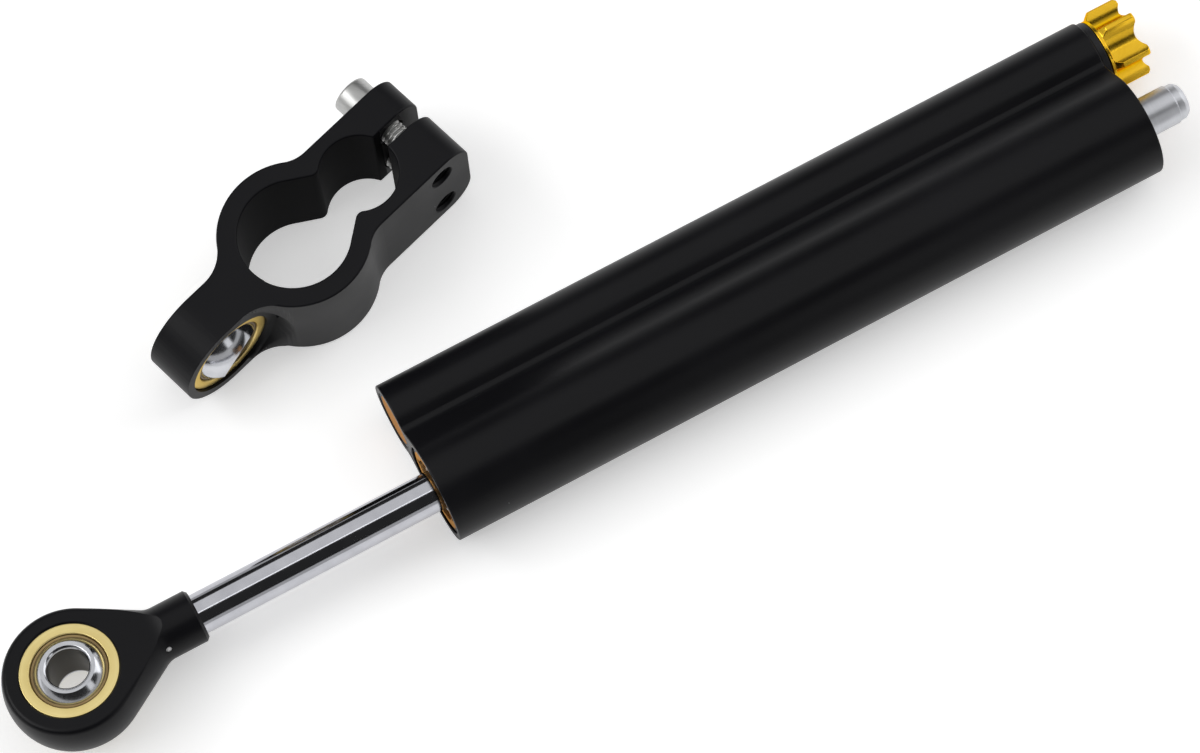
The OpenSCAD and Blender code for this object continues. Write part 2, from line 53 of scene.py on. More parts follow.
# Rod with its eye and its tail, along X from the middle of the eye
eye_r = 13.3
eye_reach = 25.8
collar_r = 5.25
rod_r = 3.98
rod_seen = 49.6
tail_seen = 10.5
near_x = eye_reach + rod_seen
far_x = near_x + housing_len
tail_x = far_x + tail_seen
rod_from, rod_to, tail_from = 14.65, 112.8, 124.8

# Punched mark beside the collar of the eye
mark_x = 17.98
mark_turn = 64
mark_r = 0.6
mark_depth = 0.8

# Spherical bearings of the eye and of the clamp
ball_r = 15.875 / 2
ball_half = 6.0
bore_r = 4.0
race_r = 9.5
race_half = 4.5

# Clamp, which stands on its end beside the housing
clamp_x, clamp_y, clamp_turn = 75, 54, 17
clamp_h = 22.5
lug_reach = 23.0
ear_half = 10.5
ear_reach = 35.5
ball_spin, ball_tilt = 41, 21

# Cap screws of the clamp
screw_d = 5.0
screw_len = 16
screw_gap = 12.6
screw_inset = 7
thread_pitch = 0.8

floor_z = -main_r

# Places: a piece is drawn about Z, then put at one of these
LEANING = Matrix.Rotation(-math.asin((main_r - knob_r) / lobe_gap), 4, "X")
ROD_AXIS = Matrix.Rotation(math.pi / 2, 4, "Y")
SIDE_AXIS = LEANING @ Matrix.Translation((0, lobe_gap, 0)) @ ROD_AXIS
EYE = LEANING
CLAMP = (Matrix.Translation((clamp_x, clamp_y, floor_z))
         @ Matrix.Rotation(math.radians(clamp_turn), 4, "Z"))
LUG = (CLAMP @ Matrix.Translation((-lug_reach, 0, clamp_h / 2))
       @ Matrix.Rotation(math.pi / 2, 4, "X"))
LUG_BALL = (LUG @ Matrix.Rotation(math.radians(ball_spin), 4, "Z")
            @ Matrix.Rotation(math.radians(ball_tilt), 4, "X"))
MARK = (LEANING @ Matrix.Translation((mark_x, 0, 0))
        @ Matrix.Rotation(math.radians(mark_turn), 4, "X"))


def along(axis, start):
    """Place on an axis, start millimetres along X."""
    return Matrix.Translation((start, 0, 0)) @ axis


def back_along(axis, start):
    """Place on an axis with the piece's Z pointing back along it."""
    return Matrix.Translation((start, 0, 0)) @ axis @ Matrix.Rotation(math.pi, 4, "X")


# Shapes


def turned(outline, closed=True, steps=128):
    """Turns an outline about Z. Each corner is (radius, height) or (radius, height, rounding)."""
    shape = bmesh.new()
    corners = [shape.verts.new((c[0], 0, c[1])) for c in outline]
    ends = corners[1:] + corners[:1] if closed else corners[1:]
    for a, b in zip(corners, ends):
        shape.edges.new((a, b))
    for size in sorted({c[2] for c in outline if len(c) > 2}):
        rounded = [v for v, c in zip(corners, outline) if len(c) > 2 and c[2] == size]
        bmesh.ops.bevel(shape, geom=rounded, offset=size, segments=3, profile=0.5,
                        affect="VERTICES", material=-1)
    bmesh.ops.spin(shape, geom=shape.verts[:] + shape.edges[:], cent=(0, 0, 0), axis=(0, 0, 1),
                   angle=2 * math.pi, steps=steps, use_merge=True)
    bmesh.ops.remove_doubles(shape, verts=shape.verts, dist=1e-4)
    bmesh.ops.recalc_face_normals(shape, faces=shape.faces)
    return shape


def rounded_solid(node, least_angle=25, full_angle=45, left_crisp=()):
    """A copy of a CAD solid, in millimetres, with its edges marked for rounding.

    An edge under least_angle stays as it is and one over full_angle is rounded fully. Each entry of
    left_crisp is a point and the distance within which the mesh is left as it came."""
    shape = bmesh.new()
    shape.from_mesh(frame["nodes"][node].data)
    shape.transform(Matrix.Scale(1000, 4))
    bmesh.ops.remove_doubles(shape, verts=shape.verts, dist=1e-3)

    def crisp():
        return {v for v in shape.verts
                if any((v.co - point).length < reach for point, reach in left_crisp)}

    kept = crisp()
    bmesh.ops.dissolve_limit(shape, angle_limit=math.radians(0.3),
                             verts=[v for v in shape.verts if v not in kept],
                             edges=[e for e in shape.edges if not kept.intersection(e.verts)])
    kept = crisp()
    share = shape.edges.layers.float.new("bevel_weight_edge")
    for edge in shape.edges:
        if not edge.is_manifold or kept.intersection(edge.verts):
            continue
        turn = (math.degrees(edge.calc_face_angle()) - least_angle) / (full_angle - least_angle)
        edge[share] = max(0.0, min(1.0, turn))
    return shape


def spread(start, end, count):
    """Even steps from start to end, both included."""
    return [start + (end - start) * k / count for k in range(count + 1)]


def half_section(r, half, soft):
    """Half of a round section cut flat at half above and below, its corners rounded by soft."""
    half = min(half, r)
    y = math.sqrt(max(0.0, (r - soft) ** 2 - (half - soft) ** 2))
    start = math.atan2(half - soft, y)
    corner = [(y + soft * math.cos(a), half - soft + soft * math.sin(a))
              for a in spread(math.pi / 2, start, 8)]
    side = [(r * math.cos(a), r * math.sin(a)) for a in spread(start, -start, 40)[1:-1]]
    return corner + side + [(y, -z) for y, z in reversed(corner)]


def first_loop(shape, points):
    """Numbered corners at the points, joined in a loop of edges."""
    number = shape.verts.layers.int.new("number")
    corners = [shape.verts.new(point) for point in points]
    for count, corner in enumerate(corners):
        corner[number] = count
    return [shape.edges.new(pair) for pair in zip(corners, corners[1:] + corners[:1])]


def grow(shape, chain, points):
    """Extrudes a chain of edges, and moves each new corner to the point that has its number."""
    number = shape.verts.layers.int["number"]
    grown = bmesh.ops.extrude_edge_only(shape, edges=chain)["geom"]
    for corner in grown:
        if isinstance(corner, bmesh.types.BMVert):
            corner.co = points[corner[number]]
    return [edge for edge in grown if isinstance(edge, bmesh.types.BMEdge)]


def drop_numbers(shape):
    """Takes the numbers off the corners again, so that they don't end up in the mesh."""
    shape.verts.layers.int.remove(shape.verts.layers.int["number"])


def rod_end_half():
    """Half of the rod end, drawn out from row to row along X: a turned body milled flat on both
    sides, with a soft rim around the eye. Towards the collar each flat runs out in a crisp arc."""
    half_t, chamfer, hollow_r, cutter_r = 4.7, 0.25, 4.0, 8.5
    soft_rim, crisp_rim, runout_len, break_w = 1.2, 0.1, 2.4, 0.6
    lean, tilt = math.cos(math.radians(30)), math.sin(math.radians(30))
    hollow_x = (eye_r + hollow_r - (collar_r + hollow_r) * lean) / tilt
    runout_x = hollow_x - runout_len
    runout_end = 20.2
    soft_until = 8
    bore_end = race_r + 5

    def body_r(x):
        if x < eye_r * tilt:
            return math.sqrt(eye_r ** 2 - x ** 2)
        if x < hollow_x - hollow_r * tilt:
            return (eye_r - x * tilt) / lean
        if x < hollow_x:
            return collar_r + hollow_r - math.sqrt(hollow_r ** 2 - (x - hollow_x) ** 2)
        return collar_r

    def seat_at(angle):
        wall = [(race_r + chamfer, -half_t), (race_r, chamfer - half_t), (race_r, 0.0),
                (race_r, half_t - chamfer), (race_r + chamfer, half_t)]
        return [(r * math.cos(angle), r * math.sin(angle), z) for r, z in wall]

    # Rows that go around the seat of the race
    rows = []
    for angle in spread(math.pi, math.pi / 2, 30)[:-1]:
        outer = [(r * math.cos(angle), r * math.sin(angle), z)
                 for r, z in half_section(eye_r, half_t, soft_rim)]
        rows.append(outer + seat_at(angle))
    for x in spread(0.0, runout_x, 30):
        crisper = max(0.0, min(1.0, (x - soft_until) / (runout_x - soft_until - 1)))
        soft = soft_rim - (soft_rim - crisp_rim) * crisper
        outer = [(x, y, z) for y, z in half_section(body_r(x), half_t, soft)]
        rows.append(outer + seat_at(math.pi / 2 * (1 - x / runout_x)))
    shape = bmesh.new()
    chain = first_loop(shape, rows[0])
    for points in rows[1:]:
        chain = grow(shape, chain, points)

    # Past the seat the flats reach the middle, so the chain goes on between two new corners there
    count = len(outer)
    number = shape.verts.layers.int["number"]
    corners = {v[number]: v for edge in chain for v in edge.verts}
    chain = [edge for edge in chain if all(v[number] < count for v in edge.verts)]
    for own, outside, seat, height in ((count, count - 1, count, -half_t),
                                       (count + 1, 0, count + 4, half_t)):
        middle = shape.verts.new((runout_x, 0, height))
        middle[number] = own
        shape.faces.new((corners[seat], corners[outside], middle))
        chain.append(shape.edges.get((middle, corners[outside])))

    # Rows of the runout and the collar, then back along the rod's hole to its bottom
    ends = [(x, body_r(x), half_t + cutter_r - math.sqrt(cutter_r ** 2 - (x - runout_x) ** 2))
            for x in spread(runout_x, runout_end, 20)[1:]]
    ends += [(eye_reach - break_w, collar_r, collar_r), (eye_reach, collar_r - break_w, collar_r),
             (eye_reach, rod_r, collar_r), (bore_end, rod_r, collar_r)]
    for x, r, half in ends:
        half = min(r, half)
        outer = [(x, y, z) for y, z in half_section(r, half, crisp_rim)]
        chain = grow(shape, chain, outer + [(x, 0, -half), (x, 0, half)])
    grow(shape, chain, [(bore_end, 0, 0)] * (count + 2))
    drop_numbers(shape)
    return shape


def punch_mark(shape):
    """Punches the mark beside the collar: the faces there make way for a small round hole."""
    middle = Vector((mark_x, 0, 0))
    way = Vector((0, -math.sin(math.radians(mark_turn)), math.cos(math.radians(mark_turn))))

    def from_mark(point):
        rise = (point - middle).dot(way)
        return rise, point - middle - way * rise

    under = []
    for face in shape.faces:
        rise, across = from_mark(face.calc_center_median())
        if rise > collar_r - 0.75 and across.length < mark_r:
            under.append(face)
    bmesh.ops.delete(shape, geom=under, context="FACES")
    rim = [e for e in shape.edges if e.is_boundary]
    for vert in {v for e in rim for v in e.verts}:
        rise, across = from_mark(vert.co)
        vert.co = middle + way * rise + across.normalized() * mark_r
    grown = bmesh.ops.extrude_edge_only(shape, edges=rim)["geom"]
    bmesh.ops.translate(shape, vec=way * -mark_depth,
                        verts=[v for v in grown if isinstance(v, bmesh.types.BMVert)])
    bmesh.ops.holes_fill(shape, edges=[e for e in shape.edges if e.is_boundary], sides=0)


def rod_end_shape():
    """Rod end, mirrored from its half, with its mark."""
    shape = rod_end_half()
    bmesh.ops.mirror(shape, geom=shape.verts[:] + shape.edges[:] + shape.faces[:], axis="Y",
                     merge_dist=1e-4)
    bmesh.ops.remove_doubles(shape, verts=shape.verts, dist=1e-4)
    bmesh.ops.dissolve_degenerate(shape, edges=shape.edges, dist=1e-5)
    punch_mark(shape)
    bmesh.ops.recalc_face_normals(shape, faces=shape.faces)
    return shape


def lofted(rings, steps=96, closed=False):
    """A shape about Z that is drawn out from ring to ring. Each ring is (radius, height), and the
    radius may be a rule of the angle. A closed one goes back to its first ring, others are capped."""
    rows = []
    for radius, height in rings:
        row = []
        for angle in spread(0.0, 2 * math.pi, steps)[:-1]:
            r = radius(angle) if callable(radius) else radius
            row.append((r * math.cos(angle), r * math.sin(angle), height))
        rows.append(row)
    shape = bmesh.new()
    first = chain = first_loop(shape, rows[0])
    for points in rows[1:]:
        chain = grow(shape, chain, points)
    if closed:
        grow(shape, chain, rows[0])
        bmesh.ops.remove_doubles(shape, verts=shape.verts, dist=1e-5)
    else:
        bmesh.ops.holes_fill(shape, edges=first + chain, sides=0)
    drop_numbers(shape)
    bmesh.ops.recalc_face_normals(shape, faces=shape.faces)
    return shape


def thread_rings(root_r, crest_r, start, end, pitch, per_turn=8):
    """Rings of a screw thread whose ridge climbs with the angle and fades out at both ends."""
    rings = []
    count = round((end - start) / pitch * per_turn)
    for k in range(count + 1):
        height = start + (end - start) * k / count
        fade = min(1.0, (height - start) / pitch, (end - height) / pitch)

        def radius(angle, height=height, fade=fade):
            turn = (height / pitch - angle / (2 * math.pi)) % 1.0
            ridge = max(0.0, min(1.0, 1.5 - 3.2 * abs(turn - 0.5)))
            return root_r + (crest_r - root_r) * ridge * fade

        rings.append((radius, height))
    return rings


def add_piece(name, shape, place, body, finish, stands_for=(), sharp=30, rounding=0):
    """Puts a shape drawn in millimetres at its place, and lets it ride on its body. Rounding is the
    width of the rounded edges that the shape has marks for."""
    shape.transform(Matrix.Scale(0.001, 4) @ place)
    mesh = bpy.data.meshes.new(name)
    shape.to_mesh(mesh)
    shape.free()
    mesh.shade_smooth()
    mesh.set_sharp_from_angle(angle=math.radians(sharp))
    mesh.materials.append(finish)
    piece = bpy.data.objects.new(name, mesh)
    bpy.context.scene.collection.objects.link(piece)
    if rounding:
        soften = piece.modifiers.new("Rounded Edges", "BEVEL")
        soften.width = rounding / 1000
        soften.limit_method = "WEIGHT"
        soften.segments = 3
        soften.use_clamp_overlap = False
    even = piece.modifiers.new("Even Normals", "WEIGHTED_NORMAL")
    even.keep_sharp = True
    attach(piece, body)
    if stands_for:
        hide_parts(*stands_for)


# Effects that several finishes share


def effect(name, inputs, outputs):
    """An empty node group with named inputs and outputs."""
    tree = bpy.data.node_groups.new(name, "ShaderNodeTree")
    for socket, kind, value in inputs:
        made = tree.interface.new_socket(socket, in_out="INPUT", socket_type=kind)
        if value is not None:
            made.default_value = value
    for socket, kind in outputs:
        tree.interface.new_socket(socket, in_out="OUTPUT", socket_type=kind)
    return tree, tree.nodes.new("NodeGroupInput"), tree.nodes.new("NodeGroupOutput")


def feed(tree, socket, value):
    """Sets a socket to a number, or links it to what gives the value."""
    if isinstance(value, (int, float)):
        socket.default_value = value
    else:
        tree.links.new(value, socket)


def math_node(tree, operation, *values):
    made = tree.nodes.new("ShaderNodeMath")
    made.operation = operation
    for socket, value in zip(made.inputs, values):
        feed(tree, socket, value)
    return made.outputs[0]


def mean_node(tree, a, b):
    return math_node(tree, "MULTIPLY", math_node(tree, "ADD", a, b), 0.5)


def square_node(tree, value):
    return math_node(tree, "MULTIPLY", value, value)


def noise_node(tree, vector, scale, detail, dimensions="3D"):
    made = tree.nodes.new("ShaderNodeTexNoise")
    made.noise_dimensions = dimensions
    made.inputs["Detail"].default_value = detail
    tree.links.new(vector, made.inputs["W" if dimensions == "1D" else "Vector"])
    feed(tree, made.inputs["Scale"], scale)
    return made.outputs["Fac"]


def range_node(tree, value, low, high, new_low, new_high):
    made = tree.nodes.new("ShaderNodeMapRange")
    for socket, number in zip(made.inputs[:5], (value, low, high, new_low, new_high)):
        feed(tree, socket, number)
    return made.outputs[0]


def parts_of(tree, vector):
    """The X, Y and Z of a vector."""
    made = tree.nodes.new("ShaderNodeSeparateXYZ")
    tree.links.new(vector, made.inputs[0])
    return made.outputs


def make_lathe_marks():
    """Fine rings left by the lathe: bands along Z on round faces, circles on end faces."""
    tree, given, result = effect(
        "Lathe Marks",
        [("Vector", "NodeSocketVector", None), ("Rings per Metre", "NodeSocketFloat", 6000.0)],
        [("Height", "NodeSocketFloat"), ("Shade", "NodeSocketFloat")])
    x, y, z = parts_of(tree, given.outputs["Vector"])
    across = math_node(tree, "SQRT", math_node(tree, "ADD", square_node(tree, x), square_node(tree, y)))
    way = math_node(tree, "ADD", across, z)
    rings = given.outputs["Rings per Metre"]
    fine = noise_node(tree, way, rings, 4.0, "1D")
    coarse = noise_node(tree, way, math_node(tree, "MULTIPLY", rings, 0.17), 2.0, "1D")
    shade = range_node(tree, mean_node(tree, fine, coarse), 0.3, 0.7, 0.0, 1.0)
    tree.links.new(fine, result.inputs["Height"])
    tree.links.new(shade, result.inputs["Shade"])
    return tree


def make_fine_grain():
    """Fine even grain, and slow changes such as smudges."""
    tree, given, result = effect(
        "Fine Grain",
        [("Vector", "NodeSocketVector", None), ("Grains per Metre", "NodeSocketFloat", 9000.0),
         ("Clouds per Metre", "NodeSocketFloat", 60.0)],
        [("Grain", "NodeSocketFloat"), ("Clouds", "NodeSocketFloat")])
    grain = noise_node(tree, given.outputs["Vector"], given.outputs["Grains per Metre"], 2.0)
    clouds = noise_node(tree, given.outputs["Vector"], given.outputs["Clouds per Metre"], 3.0)
    tree.links.new(grain, result.inputs["Grain"])
    tree.links.new(range_node(tree, clouds, 0.3, 0.7, 0.0, 1.0), result.inputs["Clouds"])
    return tree


def make_dust():
    """Sparse tiny specks of dust."""
    tree, given, result = effect(
        "Dust Specks",
        [("Vector", "NodeSocketVector", None), ("Specks per Metre", "NodeSocketFloat", 90.0),
         ("Size", "NodeSocketFloat", 0.02)],
        [("Mask", "NodeSocketFloat")])
    cells = tree.nodes.new("ShaderNodeTexVoronoi")
    tree.links.new(given.outputs["Vector"], cells.inputs["Vector"])
    tree.links.new(given.outputs["Specks per Metre"], cells.inputs["Scale"])
    near = math_node(tree, "LESS_THAN", cells.outputs["Distance"], given.outputs["Size"])
    tree.links.new(near, result.inputs["Mask"])
    return tree


LATHE_MARKS = make_lathe_marks()
FINE_GRAIN = make_fine_grain()
DUST = make_dust()


# Finishes


class Finish:
    """A material being built around one Principled shader."""

    def __init__(self, name, place=None, **constants):
        self.material = bpy.data.materials.new(name)
        self.material.use_nodes = True
        self.tree = self.material.node_tree
        self.shader = self.tree.nodes["Principled BSDF"]
        for socket, value in constants.items():
            self.shader.inputs[socket.replace("_", " ")].default_value = value
        where = self.tree.nodes.new("ShaderNodeTexCoord")
        self.vector = where.outputs["Object"]
        if place is not None:
            # Centres and turns the pattern on the piece, so that its Z is the piece's own axis
            turn = self.tree.nodes.new("ShaderNodeMapping")
            back = (Matrix.Scale(0.001, 4) @ place @ Matrix.Scale(1000, 4)).inverted()
            turn.inputs["Location"].default_value = back.to_translation()
            turn.inputs["Rotation"].default_value = back.to_euler()
            self.tree.links.new(self.vector, turn.inputs["Vector"])
            self.vector = turn.outputs["Vector"]

    def effect(self, tree, **values):
        made = self.tree.nodes.new("ShaderNodeGroup")
        made.node_tree = tree
        self.tree.links.new(self.vector, made.inputs["Vector"])
        for socket, value in values.items():
            made.inputs[socket.replace("_", " ")].default_value = value
        return made.outputs

    def blend(self, amount, first, second):
        made = self.tree.nodes.new("ShaderNodeMix")
        made.data_type = "RGBA"
        self.tree.links.new(amount, made.inputs["Factor"])
        for socket, value in (("A", first), ("B", second)):
            target = [s for s in made.inputs if s.name == socket and s.type == "RGBA"][0]
            if isinstance(value, tuple):
                target.default_value = (*value, 1)
            else:
                self.tree.links.new(value, target)
        return [s for s in made.outputs if s.type == "RGBA"][0]

    def span(self, value, low, high):
        return range_node(self.tree, value, 0.0, 1.0, low, high)

    def set(self, socket, value):
        self.tree.links.new(value, self.shader.inputs[socket])

    def bump(self, height, depth):
        made = self.tree.nodes.new("ShaderNodeBump")
        made.inputs["Distance"].default_value = depth
        made.inputs["Strength"].default_value = 1.0
        self.tree.links.new(height, made.inputs["Height"])
        self.tree.links.new(made.outputs[0], self.shader.inputs["Normal"])


def bore_shade_mask(made, bores, height):
    """Mask for painted shade, 1 at the walls of upright bores, where the shine is lowered to darken
    them. It is 0 elsewhere, and on the end faces, which lie at 0 and at height. Each bore is its
    distance along X and how far the mask reaches."""
    tree = made.tree
    x, y, z = parts_of(tree, made.vector)
    inside = None
    for start, radius in bores:
        away = square_node(tree, math_node(tree, "SUBTRACT", x, start / 1000))
        away = math_node(tree, "ADD", away, square_node(tree, y))
        here = math_node(tree, "LESS_THAN", away, (radius / 1000) ** 2)
        inside = here if inside is None else math_node(tree, "MAXIMUM", inside, here)
    from_middle = math_node(tree, "ABSOLUTE", math_node(tree, "SUBTRACT", z, height / 2000))
    between_faces = math_node(tree, "LESS_THAN", from_middle, (height / 2 - 0.1) / 1000)
    return math_node(tree, "MULTIPLY", inside, between_faces)


def anodised(name, dark, light, rough=(0.3, 0.4), shine=0.16, place=None, bores=(), height=0,
             fade=()):
    """Satin black anodising over fine blasted metal, with a few specks of dust. The walls of bores,
    which the bore mask finds, get painted shade: less shine and more roughness. Fade is painted shade
    too: two heights between which the shine rises to its full level, and the share of it that is left
    below them, so that the lower part renders darker."""
    made = Finish(name, place, Specular_IOR_Level=shine)
    skin = made.effect(FINE_GRAIN, Grains_per_Metre=7000.0, Clouds_per_Metre=45.0)
    dust = made.effect(DUST, Specks_per_Metre=110.0, Size=0.012)
    colour = made.blend(skin["Clouds"], dark, light)
    made.set("Base Color", made.blend(dust["Mask"], colour, (0.25, 0.25, 0.25)))
    made.bump(skin["Grain"], 0.000004)
    roughness = made.span(skin["Clouds"], *rough)
    if bores:
        # Painted shade: less shine and more roughness on the bore walls darken them
        inside = bore_shade_mask(made, bores, height)
        bore_shade_shine, bore_shade_rough = 0.03, 0.6
        made.set("Specular IOR Level", made.span(inside, shine, bore_shade_shine))
        dull = math_node(made.tree, "MULTIPLY", inside, bore_shade_rough)
        roughness = math_node(made.tree, "MAXIMUM", roughness, dull)
    # Painted shade: below the fade heights the shine drops, so the lower part renders darker
    if fade:
        low, high, share = fade
        height_here = parts_of(made.tree, made.vector)["Z"]
        made.set("Specular IOR Level",
                 range_node(made.tree, height_here, low / 1000, high / 1000, share * shine, shine))
    made.set("Roughness", roughness)
    return made.material


def lathe_metal(name, place, dark, light, rough=(0.2, 0.32), rings=6000.0, depth=0.000004,
                edge=(1, 1, 1)):
    """Bare or coloured metal with the rings of the lathe in it. Edge is its tint at a flat angle."""
    made = Finish(name, place, Metallic=1.0, Specular_Tint=(*edge, 1))
    marks = made.effect(LATHE_MARKS, Rings_per_Metre=rings)
    skin = made.effect(FINE_GRAIN, Grains_per_Metre=3000.0, Clouds_per_Metre=150.0)
    shade = mean_node(made.tree, marks["Shade"], skin["Clouds"])
    made.set("Base Color", made.blend(shade, dark, light))
    made.set("Roughness", made.span(shade, *rough))
    made.bump(marks["Height"], depth)
    return made.material


def polished(name, place, dark, light, rough):
    """Hard chrome: very smooth, with faint grinding lines and smudges."""
    made = Finish(name, place, Metallic=1.0)
    marks = made.effect(LATHE_MARKS, Rings_per_Metre=9000.0)
    skin = made.effect(FINE_GRAIN, Grains_per_Metre=2500.0, Clouds_per_Metre=260.0)
    made.set("Base Color", made.blend(skin["Clouds"], dark, light))
    made.set("Roughness", made.span(mean_node(made.tree, marks["Shade"], skin["Clouds"]), *rough))
    made.bump(marks["Height"], 0.0000004)
    return made.material


def soft_matt(name, dark, light, rough=(0.5, 0.7), grain=0.00001):
    """Rubber, plastic and other dull surfaces."""
    made = Finish(name, Specular_IOR_Level=0.3)
    skin = made.effect(FINE_GRAIN, Grains_per_Metre=4000.0, Clouds_per_Metre=200.0)
    made.set("Base Color", made.blend(skin["Clouds"], dark, light))
    made.set("Roughness", made.span(skin["Clouds"], *rough))
    made.bump(skin["Grain"], grain)
    return made.material


DEEP_BLACK = ((0.0045, 0.0045, 0.0055), (0.006, 0.006, 0.0075))
CHROME = ((0.5, 0.51, 0.54), (0.6, 0.61, 0.64))
BRASS_EDGE = (0.9, 0.75, 0.45)
BRONZE_EDGE = (0.8, 0.5, 0.26)
GOLD_EDGE = (0.9, 0.6, 0.16)

# Both black finishes paint shade on their lower part, through fade
HOUSING_BLACK = anodised("Black Anodised Housing", *DEEP_BLACK, fade=(-5, 3, 0.15))
EYE_BLACK = anodised("Black Anodised Eye", *DEEP_BLACK, shine=0.15, fade=(-5, 3, 0.4))
# The clamp's finish paints shade on the walls of its main and side bores
CLAMP_BLACK = anodised("Black Anodised Clamp", (0.0055, 0.0055, 0.007), (0.008, 0.008, 0.0095),
                       (0.38, 0.48), 0.13, CLAMP, [(0, main_r + 2), (lobe_gap, side_r + 2)], clamp_h)

ROD_CHROME = polished("Chrome Rod", ROD_AXIS, (0.46, 0.465, 0.5), (0.53, 0.535, 0.57), (0.07, 0.12))
EYE_CHROME = polished("Chrome Ball of the Eye", EYE, *CHROME, (0.13, 0.2))
LUG_CHROME = polished("Chrome Ball of the Clamp", LUG_BALL, *CHROME, (0.13, 0.2))

TAIL_METAL = lathe_metal("Satin Tail", ROD_AXIS, (0.5, 0.51, 0.54), (0.66, 0.67, 0.7), (0.36, 0.46))
EYE_RACE = lathe_metal("Brass Race of the Eye", EYE, (0.72, 0.57, 0.22), (0.88, 0.74, 0.34),
                       (0.26, 0.38), edge=BRASS_EDGE)
LUG_RACE = lathe_metal("Brass Race of the Clamp", LUG, (0.62, 0.46, 0.17), (0.78, 0.62, 0.27),
                       (0.26, 0.38), edge=BRASS_EDGE)
FRONT_BRONZE = lathe_metal("Bronze Seal Heads", ROD_AXIS, (0.42, 0.24, 0.09), (0.58, 0.36, 0.15),
                           (0.34, 0.42), depth=0.0000005, edge=BRONZE_EDGE)
SIDE_BRONZE = lathe_metal("Bronze Plug", SIDE_AXIS, (0.36, 0.19, 0.08), (0.48, 0.27, 0.12),
                          (0.3, 0.4), edge=BRONZE_EDGE)
VALVE_BRASS = lathe_metal("Valve Brass", SIDE_AXIS, (0.5, 0.36, 0.14), (0.65, 0.5, 0.22))
KNOB_GOLD = lathe_metal("Gold Anodised Knob", SIDE_AXIS, (0.76, 0.44, 0.02), (0.92, 0.57, 0.04),
                        (0.2, 0.28), rings=5000.0, edge=GOLD_EDGE)
PLAIN_METAL = lathe_metal("Plain Aluminium", ROD_AXIS, (0.55, 0.56, 0.58), (0.7, 0.71, 0.73))
STEEL = lathe_metal("Ground Steel", SIDE_AXIS, (0.42, 0.43, 0.45), (0.55, 0.56, 0.58))
# Near-black metal that paints the shade inside the balls' bores
BORE_SHADE_STEEL = lathe_metal("Bore Steel with Painted Shade", EYE, (0.03, 0.027, 0.022), (0.055, 0.05, 0.042),
                         (0.35, 0.5))
ZINC = lathe_metal("Zinc Plated Screws", CLAMP, (0.38, 0.38, 0.375), (0.54, 0.54, 0.53), (0.3, 0.42))

BLACK_STEEL = soft_matt("Black Ring Steel", (0.01, 0.01, 0.011), (0.02, 0.02, 0.022), (0.35, 0.45),
                        0.000003)
RUBBER = soft_matt("Rubber", (0.008, 0.008, 0.008), (0.014, 0.014, 0.014))
LINER = soft_matt("Bearing Liner", (0.24, 0.16, 0.065), (0.34, 0.24, 0.1), (0.35, 0.5))
WIPER = soft_matt("Wiper", (0.02, 0.018, 0.016), (0.035, 0.03, 0.026))
# Near-white matt colour that paints a highlight in the punched mark
PAINTED_GLINT = soft_matt("Painted Glint", (0.86, 0.86, 0.86), (0.95, 0.95, 0.95), (0.25, 0.35),
                        0.000002)
BAND = soft_matt("Piston Band", (0.02, 0.06, 0.045), (0.03, 0.08, 0.06))
COLLAR = soft_matt("Collar Plastic", (0.006, 0.006, 0.007), (0.01, 0.01, 0.012), (0.4, 0.5),
                   0.000004)

finish_of_slot = {
    "black_anodised": HOUSING_BLACK, "bronze": FRONT_BRONZE, "black_steel": BLACK_STEEL,
    "rubber": RUBBER, "wiper_plastic": WIPER, "plain_aluminium": PLAIN_METAL, "band_plastic": BAND,
    "chrome_rod": ROD_CHROME, "satin_rod": TAIL_METAL, "race_brass": EYE_RACE, "liner": LINER,
    "ball_chrome": EYE_CHROME, "valve_brass": VALVE_BRASS, "plain_steel": STEEL,
    "collar_plastic": COLLAR, "gold_anodised": KNOB_GOLD, "zinc_screw": ZINC,
}
own_finish = {
    "rod_end": EYE_BLACK, "clamp_body": CLAMP_BLACK, "clamp_race": LUG_RACE,
    "clamp_ball": LUG_CHROME, "reservoir_plug": SIDE_BRONZE,
}
for row in frame["record"]["subparts"]:
    solid = frame["nodes"][row["node"]]
    solid.data.materials.clear()
    solid.data.materials.append(own_finish.get(row["node"], finish_of_slot[row["material_slot"]]))

# Pieces


def round_side(r, heights):
    """Points on a ball's outline at the given heights."""
    return [(math.sqrt(r * r - z * z), z) for z in heights]


def ball_shape():
    """Ball with two flats and a bore with chamfered mouths."""
    shape = bmesh.new()
    bmesh.ops.create_uvsphere(shape, u_segments=128, v_segments=96, radius=ball_r)
    for side in (1, -1):
        bmesh.ops.bisect_plane(shape, geom=shape.verts[:] + shape.edges[:] + shape.faces[:],
                               plane_co=(0, 0, ball_half * side), plane_no=(0, 0, side),
                               clear_outer=True)
    mouths = []
    for side in (1, -1):
        ring = [e for e in shape.edges if e.is_boundary and e.verts[0].co.z * side > ball_half - 0.1]
        for wider, deeper in ((0.5, 0.0), (0.4, 0.03), (0.2, 0.2), (0.05, 0.4)):
            grown = bmesh.ops.extrude_edge_only(shape, edges=ring)["geom"]
            ring = [e for e in grown if isinstance(e, bmesh.types.BMEdge)]
            verts = [v for v in grown if isinstance(v, bmesh.types.BMVert)]
            share = (bore_r + wider) / verts[0].co.xy.length
            bmesh.ops.scale(shape, vec=(share, share, 1), verts=verts)
            rise = (ball_half - deeper) * side - verts[0].co.z
            bmesh.ops.translate(shape, vec=(0, 0, rise), verts=verts)
        mouths += ring
    bmesh.ops.bridge_loops(shape, edges=mouths)
    bmesh.ops.recalc_face_normals(shape, faces=shape.faces)
    return shape


